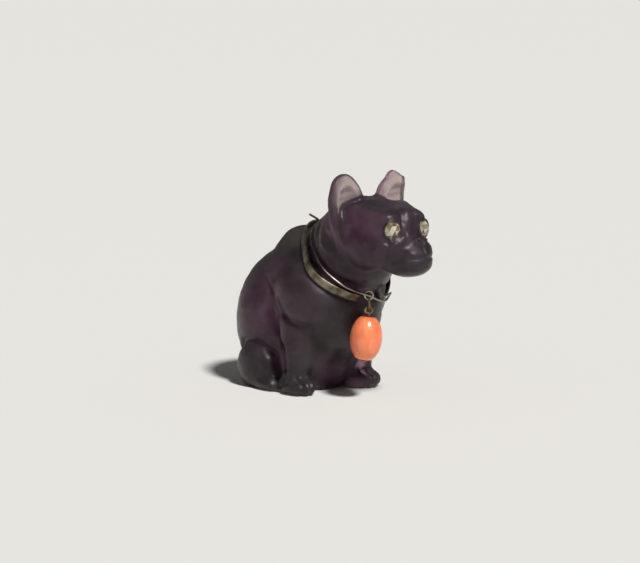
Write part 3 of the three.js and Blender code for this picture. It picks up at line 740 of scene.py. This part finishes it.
def make_gilt(name, dark, pale, roughness):
    material, tree, shader = new_material(name)
    set_values(shader, Metallic=1.0, Specular_IOR_Level=0.5)
    stain = pattern(tree, "ShaderNodeTexNoise", 900, 6)
    tone = ramp(tree, stain.outputs["Fac"], [(0.35, dark), (0.68, pale)])
    tree.links.new(tone, shader.inputs["Base Color"])
    tree.links.new(scaled(tree, stain.outputs["Fac"], *roughness), shader.inputs["Roughness"])
    grain = pattern(tree, "ShaderNodeTexNoise", 5200, 4)
    bump(tree, shader, grain.outputs["Fac"], 0.4, 0.00004)
    return material


band_metal = make_gilt("tarnished_gilt", (0.07, 0.06, 0.04), (0.30, 0.27, 0.19), (0.5, 0.28))
wire_metal = make_gilt("pale_wire", (0.16, 0.15, 0.12), (0.48, 0.45, 0.36), (0.42, 0.22))
link_metal = make_gilt("brown_gilt", (0.12, 0.08, 0.04), (0.42, 0.31, 0.17), (0.45, 0.25))
print("metals:", band_metal.name, wire_metal.name, link_metal.name)

# %% [markdown]
# ## Collar
# The band leans from the nape down to the chest. Its line is found by walking outwards from the
# middle of the neck until the stone is left behind by a small gap. A metal hoop is smoother than
# the neck, so the reach is averaged over a few degrees each way.
# %% Collar line
COLLAR_GAP = 0.3
BAND_WIDE = 1.4
BAND_THICK = 0.32
WIRE_D = 0.34
SMALL_GAP = 0.08
HOOP_SPREAD = [-16, -8, 0, 8, 16]
STRIDE = 0.7
SHORTEST_STEP = 0.004


def around(degrees, height=0.0):
    degrees = np.asarray(degrees, float)
    a = np.radians(degrees)
    middle = COLLAR_AT + np.outer(height - collar_drop(degrees), COLLAR_UP)
    return middle, np.outer(np.cos(a), [1, 0, 0]) + np.outer(np.sin(a), COLLAR_BACK)


def march_out(start, outward, clearance, steps=60):
    """Walks each point outwards until the clearance is no longer negative."""
    t = np.zeros(len(start))
    for _ in range(steps):
        gap = clearance(start + t[:, None] * outward)
        t += np.where(gap < 0, np.maximum(-STRIDE * gap, SHORTEST_STEP), 0)
    return start + t[:, None] * outward


def hoop_inside(degrees):
    def clearance(p):
        edges = [dog_masses(p + e * COLLAR_UP) for e in (-BAND_WIDE / 2, 0, BAND_WIDE / 2)]
        return np.minimum.reduce(edges) - COLLAR_GAP

    reach = []
    for spread in HOOP_SPREAD:
        middle, outward = around(np.asarray(degrees) + spread)
        reach.append(np.linalg.norm(march_out(middle, outward, clearance) - middle, axis=1))
    middle, outward = around(degrees)
    return middle + outward * np.maximum(np.mean(reach, axis=0), reach[2])[:, None]


# %% Collar band
BAND_ENDS = [-66, 254]
BAND_STATIONS = 161
BAND_EDGE = 0.09

band_angles = np.linspace(*BAND_ENDS, BAND_STATIONS)
band_facing = around(band_angles)[1]
band_line = hoop_inside(band_angles) + band_facing * BAND_THICK / 2
band = grow(
    path_object("collar_band_gilt", band_line, facing=band_facing), strip_tree,
    Width=BAND_WIDE * MM, Thickness=BAND_THICK * MM, Edge=BAND_EDGE * MM, Metal=band_metal,
)
settle(band, "gilt_metal", "collar_band")

# %% [markdown]
# A thin wire goes round with the band: its free end stands up at the nape, it lies on the neck
# just above the band, passes through the front ring, and ends in a loop on the dog's left. Its
# stations say how far round they are, how high, and whether they lie on the stone or over the
# band.
# %% Collar wire
PENDANT_AT = [-1.15, -9.15]
RING_Z = 16.35
RING_TURN = -30
RIGHT_SIDE = [
    [112, 2.9, 1.1], [94, 1.3, 0.35], [104, 1.15, 0.1], [118, 1.2, 0], [132, 1.25, 0], [148, 1.3, 0],
    [165, 1.3, 0], [185, 1.25, 0], [205, 1.2, 0.1], [228, 1.15, 0.3], [243, 1.1, 0.5],
]
LEFT_LOOP = [
    [274, 0.35, 1.1], [288, -0.2, 1.1], [299, -0.35, 1.1], [304, 0.4, 1.1], [300, 1.2, 1.1],
    [291, 1.1, 1.1], [284, 0.9, 1.1],
]
HOOK = [-0.45, 0, 0.35]


def wire_stations(stations):
    degrees, height, over = np.array(stations, float).T
    middle, outward = around(degrees, height)
    on_stone = march_out(middle, outward, lambda p: dog_masses(p) - COLLAR_GAP - WIRE_D / 2)
    lift = BAND_THICK + SMALL_GAP + WIRE_D / 2
    on_band = hoop_inside(degrees) + outward * lift + np.outer(height, COLLAR_UP)
    return on_stone + (on_band - on_stone) * over[:, None]


ring_middle = np.array([*PENDANT_AT, RING_Z])
through_ring = turn_matrix([0, 0, RING_TURN]) @ [0, 1, 0]
hook = ring_middle + np.outer(HOOK, through_ring)
wire_line = np.concatenate([wire_stations(RIGHT_SIDE), hook, wire_stations(LEFT_LOOP)])
collar_wire = grow(
    path_object("collar_wire_pale", wire_line), wire_tree,
    Radius=WIRE_D / 2 * MM, Sides=14, Smoothness=10, Metal=wire_metal,
)
settle(collar_wire, "gilt_metal", "collar_wire")

# %% [markdown]
# ## Pendant
# A round ring hangs on the wire, an oval link on the ring, and the pin through the bead ends in
# an eye that closes round the link. All three are wire bent round a former.
# %% Ring, link and pin
RING_R = 0.62
RING_WIRE_R = 0.17
LINK_HALF = [0.5, 0.95]
LINK_WIRE_R = 0.15
EYE_LOOP_R = 0.55
PIN_R = 0.16
BEAD_TILT = 7

ring_turn = turn_matrix([0, 0, RING_TURN])
LINK_Z = RING_Z - RING_R + RING_WIRE_R + LINK_WIRE_R + SMALL_GAP - LINK_HALF[1]
PIN_EYE_Z = LINK_Z - LINK_HALF[1] + LINK_WIRE_R + PIN_R + SMALL_GAP - EYE_LOOP_R
circle = np.radians(np.arange(0, 360, 15))
flat = np.zeros_like(circle)

ring_line = np.stack([RING_R * np.cos(circle), flat, RING_R * np.sin(circle)], axis=1)
link_line = np.stack([flat, LINK_HALF[0] * np.cos(circle), LINK_HALF[1] * np.sin(circle)], axis=1)
front_ring = grow(
    path_object("front_ring_pale", ring_middle + ring_line @ ring_turn.T, closed=True), wire_tree,
    Radius=RING_WIRE_R * MM, Sides=14, Smoothness=4, Metal=wire_metal,
)
settle(front_ring, "gilt_metal", "front_ring")
link = grow(
    path_object("pendant_link_brown", [*PENDANT_AT, LINK_Z] + link_line @ ring_turn.T, closed=True),
    wire_tree, Radius=LINK_WIRE_R * MM, Sides=14, Smoothness=4, Metal=link_metal,
)
settle(link, "gilt_metal", "pendant_link")

# %% [markdown]
# ## Coral bead
# The bead is turned like a small barrel with flat ends and a bore. A lathe is the plain way to
# make it: one half outline, carried round the axis. The same few lines turn the knob under the
# bead and the settings of the eyes.
# %% Lathe


def lathe(profile, segments, place):
    """Turns a closed outline of (radius, height) round the local Z axis."""
    angles = np.arange(segments) / segments * 2 * math.pi
    profile = np.array(profile, float)
    x = np.outer(np.cos(angles), profile[:, 0])
    y = np.outer(np.sin(angles), profile[:, 0])
    z = np.tile(profile[:, 1], (segments, 1))
    count = len(profile)
    faces = []
    for i in range(segments):
        j = (i + 1) % segments
        for k in range(count):
            m = (k + 1) % count
            faces.append((i * count + k, j * count + k, j * count + m, i * count + m))
    return place(np.stack([x, y, z], axis=-1).reshape(-1, 3)), faces


def closed_up(piece):
    """Merges points that meet on the axis, drops empty faces and turns the rest outwards."""
    form = bmesh.new()
    form.from_mesh(piece.data)
    bmesh.ops.remove_doubles(form, verts=form.verts, dist=1e-7)
    bmesh.ops.dissolve_degenerate(form, edges=form.edges, dist=1e-8)
    bmesh.ops.recalc_face_normals(form, faces=form.faces)
    form.to_mesh(piece.data)
    form.free()
    return piece


# %% Bead and pin
BEAD_R = 2.5
BEAD_LONG = 6.6
BEAD_END_R = 1.15
BEAD_BORE_R = 0.4
BEAD_CORNER = 0.12
BEAD_DROP = 0.35
PIN_SHANK = 0.45
pendant_turn = turn_matrix([0, BEAD_TILT, 0]) @ ring_turn
pendant_at = np.array([*PENDANT_AT, PIN_EYE_Z])
BEAD_TOP = -EYE_LOOP_R - PIN_R - BEAD_DROP
BEAD_MIDDLE = BEAD_TOP - BEAD_LONG / 2


def on_pendant(points):
    return pendant_at + np.asarray(points) @ pendant_turn.T


def make_coral():
    material, tree, shader = new_material("coral")
    set_values(shader, Specular_IOR_Level=0.5, Coat_Weight=0.5, Coat_Roughness=0.06)
    set_values(shader, Subsurface_Weight=0.35, Subsurface_Scale=0.0008)
    shader.inputs["Subsurface Radius"].default_value = (1.0, 0.5, 0.3)
    cloud = pattern(tree, "ShaderNodeTexNoise", 420, 3, (1, 1, 0.4))
    tone = ramp(tree, cloud.outputs["Fac"], [(0.3, (0.82, 0.15, 0.05)), (0.7, (0.95, 0.34, 0.16))])
    tree.links.new(tone, shader.inputs["Base Color"])
    rub = pattern(tree, "ShaderNodeTexNoise", 1500, 4)
    tree.links.new(scaled(tree, rub.outputs["Fac"], 0.18, 0.32), shader.inputs["Roughness"])
    bump(tree, shader, rub.outputs["Fac"], 0.15, 0.00003)
    return material


bead_reach = (BEAD_LONG / 2) / math.sqrt(1 - (BEAD_END_R / BEAD_R) ** 2)
heights = np.linspace(-BEAD_LONG / 2 + BEAD_CORNER, BEAD_LONG / 2 - BEAD_CORNER, 41)
barrel = [[BEAD_R * math.sqrt(1 - (z / bead_reach) ** 2), z] for z in heights]
end_r = BEAD_END_R - BEAD_CORNER
bead_outline = [[BEAD_BORE_R, -BEAD_LONG / 2], [end_r, -BEAD_LONG / 2], *barrel]
bead_outline += [[end_r, BEAD_LONG / 2], [BEAD_BORE_R, BEAD_LONG / 2]]
coral = make_coral()
bead_mesh = lathe(bead_outline, 96, lambda p: on_pendant(p + [0, 0, BEAD_MIDDLE]))
bead = closed_up(add_piece("coral_bead_turned", *bead_mesh, coral))
settle(bead, "coral", "coral_bead")

loop_angles = np.radians(np.linspace(270, -30, 13))
pin_line = [[EYE_LOOP_R * math.cos(a), 0, EYE_LOOP_R * math.sin(a)] for a in loop_angles]
PIN_FOOT = BEAD_TOP - BEAD_LONG - SMALL_GAP
pin_line += [[0, 0, -EYE_LOOP_R - PIN_SHANK], [0, 0, BEAD_MIDDLE], [0, 0, PIN_FOOT - 0.05]]
pin = grow(
    path_object("bead_pin_wire", on_pendant(pin_line)), wire_tree,
    Radius=PIN_R * MM, Sides=14, Smoothness=8, Metal=link_metal,
)
settle(pin, "gilt_metal", "bead_pin")
knob_outline = [[0, -0.26], [0.28, -0.26], [0.4, -0.2], [0.45, -0.1], [0.42, 0], [0, 0]]
knob_mesh = lathe(knob_outline, 32, lambda p: on_pendant(p + [0, 0, PIN_FOOT]))
knob = closed_up(add_piece("bead_pin_knob", *knob_mesh, link_metal))
settle(knob, "gilt_metal", "bead_pin")

# %% [markdown]
# ## Eyes
# Each eye is a rose-cut stone: flat below, with two rows of facets that rise to a point. It sits
# on bright foil in a thin closed cup, as such stones do, and the foil throws the light back
# through the facets. The facets also get painted reflections: a random brightness on each.
# %% Eye stones
GEM_R = 1.36
GEM_H = 1.0
GEM_GIRDLE = 0.3
STAR_R = 0.6
STAR_RISE = 0.66
EYE_AT = [3.4, -6.55, 1.05]
EYE_TURN = 16
EYE_PROUD = 0.1
INTO_HEAD = 2
SETTING_WALL = 0.12
SETTING_DEEP = 0.65
SETTING_FLOOR = 0.15


def ring_of(count, r, z, twist=0.0):
    a = (np.arange(count) + twist) / count * 2 * math.pi
    return np.stack([r * np.cos(a), r * np.sin(a), np.full(count, z)], axis=1)


def rose_cut():
    star_z = GEM_GIRDLE + (GEM_H - GEM_GIRDLE) * STAR_RISE
    points = np.concatenate([
        ring_of(12, GEM_R, 0), ring_of(12, GEM_R, GEM_GIRDLE), ring_of(6, GEM_R * STAR_R, star_z),
        [[0, 0, GEM_H]],
    ])
    faces = [tuple(range(11, -1, -1))]
    for i in range(12):
        j = (i + 1) % 12
        faces.append((i, j, 12 + j, 12 + i))
    for i in range(6):
        j = (i + 1) % 6
        a, b, c = 12 + 2 * i, 13 + 2 * i, 12 + (2 * i + 2) % 12
        faces += [(a, b, 24 + i), (b, c, 24 + j), (b, 24 + j, 24 + i), (24 + i, 24 + j, 30)]
    return points, faces


def make_pale_gem():
    material, tree, shader = new_material("pale_rose_cut")
    set_values(shader, IOR=1.62, Transmission_Weight=0.35, Roughness=0.08)
    # Each facet gets a random brightness from dark olive to pale cream: painted reflections of foil
    # and light that differ from facet to facet.
    facet = tree.nodes.new("ShaderNodeAttribute")
    facet.attribute_name = "facet"
    facet_reflection_tones = [(0.0, (0.09, 0.07, 0.035)), (0.45, (0.36, 0.31, 0.20)), (1.0, (0.88, 0.80, 0.62))]
    tone = ramp(tree, facet.outputs["Fac"], facet_reflection_tones)
    tree.links.new(tone, shader.inputs["Base Color"])
    return material


pale_gem = make_pale_gem()
foil = make_gilt("bright_foil", (0.72, 0.66, 0.46), (0.93, 0.89, 0.74), (0.35, 0.2))
settings_metal = make_gilt("dark_setting", (0.05, 0.045, 0.035), (0.22, 0.20, 0.15), (0.5, 0.3))


def eye_place(side):
    look = math.radians(HEAD_YAW + side * EYE_TURN)
    outward = np.array([math.sin(look), -math.cos(look), 0])
    inside = np.array([side * EYE_AT[0], *EYE_AT[1:]]) @ HEAD_TURN.T + HEAD_AT - INTO_HEAD * outward
    rim = march_out(inside[None], outward[None], dog_masses)[0] + outward * EYE_PROUD
    across = np.cross([0, 0, 1], outward)
    turn = np.stack([across, [0, 0, 1], outward])
    return lambda p: rim + np.asarray(p) @ turn


inner = GEM_R + SMALL_GAP
outer = inner + SETTING_WALL
floor_z = SETTING_FLOOR - SETTING_DEEP
cup_outline = [
    [0, -SETTING_DEEP], [outer, -SETTING_DEEP], [outer, -0.06], [outer - 0.03, 0.0],
    [inner + 0.03, 0.0], [inner, -0.05], [inner, floor_z], [0, floor_z],
]
foil_outline = [[0, 0.01], [inner - 0.01, 0.01], [inner - 0.01, 0.04], [0, 0.04]]
gem_points, gem_faces = rose_cut()

for name, side in (("right", -1), ("left", 1)):
    place = eye_place(side)
    cup = closed_up(add_piece(f"eye_{name}_cup", *lathe(cup_outline, 64, place), settings_metal))
    settle(cup, "gilt_metal", f"eye_{name}_setting")
    lifted = place(gem_points + [0, 0, floor_z + SMALL_GAP])
    gem = closed_up(add_piece(f"eye_{name}_stone", lifted, gem_faces, pale_gem, smooth=False))
    # One random value per facet sets its painted reflection.
    shine = gem.data.attributes.new("facet", "FLOAT", "FACE")
    shine.data.foreach_set("value", rng.uniform(0, 1, len(gem.data.polygons)).astype(np.float32))
    settle(gem, "pale_gem", f"eye_{name}_gem")
    leaf_mesh = lathe(foil_outline, 48, lambda p: place(p + [0, 0, floor_z]))
    leaf = closed_up(add_piece(f"eye_{name}_foil", *leaf_mesh, foil))
    settle(leaf, "gilt_metal", f"eye_{name}_setting")

# %% [markdown]
# ## Floor, light and camera
# The carving stands on a pale sheet that fills the picture. One sun, a few degrees wide, shines
# from above, the right and the front. It gives the highlights and the short soft shadow behind,
# and the pale surroundings light the stone through from all sides.
# %% Camera
IMAGE = (640, 563)
CAMERA_AZIMUTH = math.radians(-40)
CAMERA_ELEVATION = math.radians(9.5)
CAMERA_AWAY = 450
FOCAL_PIXELS = 2880
AIM = np.array([-0.1, 3.7, 16.7])
SENSOR = 36

back = np.array([
    math.sin(CAMERA_AZIMUTH) * math.cos(CAMERA_ELEVATION),
    -math.cos(CAMERA_AZIMUTH) * math.cos(CAMERA_ELEVATION),
    math.sin(CAMERA_ELEVATION),
])
lens = bpy.data.cameras.new("camera")
lens.sensor_width = SENSOR
lens.lens = FOCAL_PIXELS / IMAGE[0] * SENSOR
lens.clip_start = 0.01
camera = bpy.data.objects.new("camera", lens)
camera.location = in_metres(AIM + CAMERA_AWAY * back)
camera.rotation_euler = Vector(back).to_track_quat("Z", "Y").to_euler()
bpy.context.collection.objects.link(camera)
bpy.context.scene.camera = camera
print("lens in mm:", lens.lens)

# %% Floor and light
FLOOR_HALF = 4.0
SUN_FROM = (0.4, 0.64, 1.0)
SUN_WIDE = 9
SUN_STRENGTH = 3.6
SKY_STRENGTH = 0.15


def make_floor():
    material, tree, shader = new_material("pale_sheet")
    set_values(shader, Base_Color=(0.78, 0.77, 0.745, 1), Roughness=0.9, Specular_IOR_Level=0.1)
    mesh = bpy.data.meshes.new("floor")
    corners = [(-1, -1), (1, -1), (1, 1), (-1, 1)]
    mesh.from_pydata([(x * FLOOR_HALF, y * FLOOR_HALF, 0) for x, y in corners], [], [(0, 1, 2, 3)])
    mesh.materials.append(material)
    floor = bpy.data.objects.new("floor", mesh)
    bpy.context.collection.objects.link(floor)


def sun_light(name, toward, spread, strength, color):
    """Even light from far away, in a direction given from the dog, its source spread degrees wide."""
    light = bpy.data.lights.new(name, "SUN")
    light.angle = math.radians(spread)
    light.energy = strength
    light.color = color
    lamp = bpy.data.objects.new(name, light)
    lamp.rotation_euler = Vector(toward).to_track_quat("Z", "Y").to_euler()
    bpy.context.collection.objects.link(lamp)


def seen_from_camera(right, toward, up):
    """A direction given as shares of the picture's right, towards the camera and up."""
    across = np.array([math.cos(CAMERA_AZIMUTH), math.sin(CAMERA_AZIMUTH), 0])
    ahead = np.array([back[0], back[1], 0]) / math.cos(CAMERA_ELEVATION)
    return right * across + toward * ahead + np.array([0, 0, up])


make_floor()
sun_light("key", seen_from_camera(*SUN_FROM), SUN_WIDE, SUN_STRENGTH, (1, 0.99, 0.97))
world = bpy.data.worlds.new("studio")
world.use_nodes = True
world.node_tree.nodes["Background"].inputs["Color"].default_value = (0.80, 0.80, 0.79, 1)
world.node_tree.nodes["Background"].inputs["Strength"].default_value = SKY_STRENGTH
bpy.context.scene.world = world
bpy.context.scene.view_settings.view_transform = "Standard"
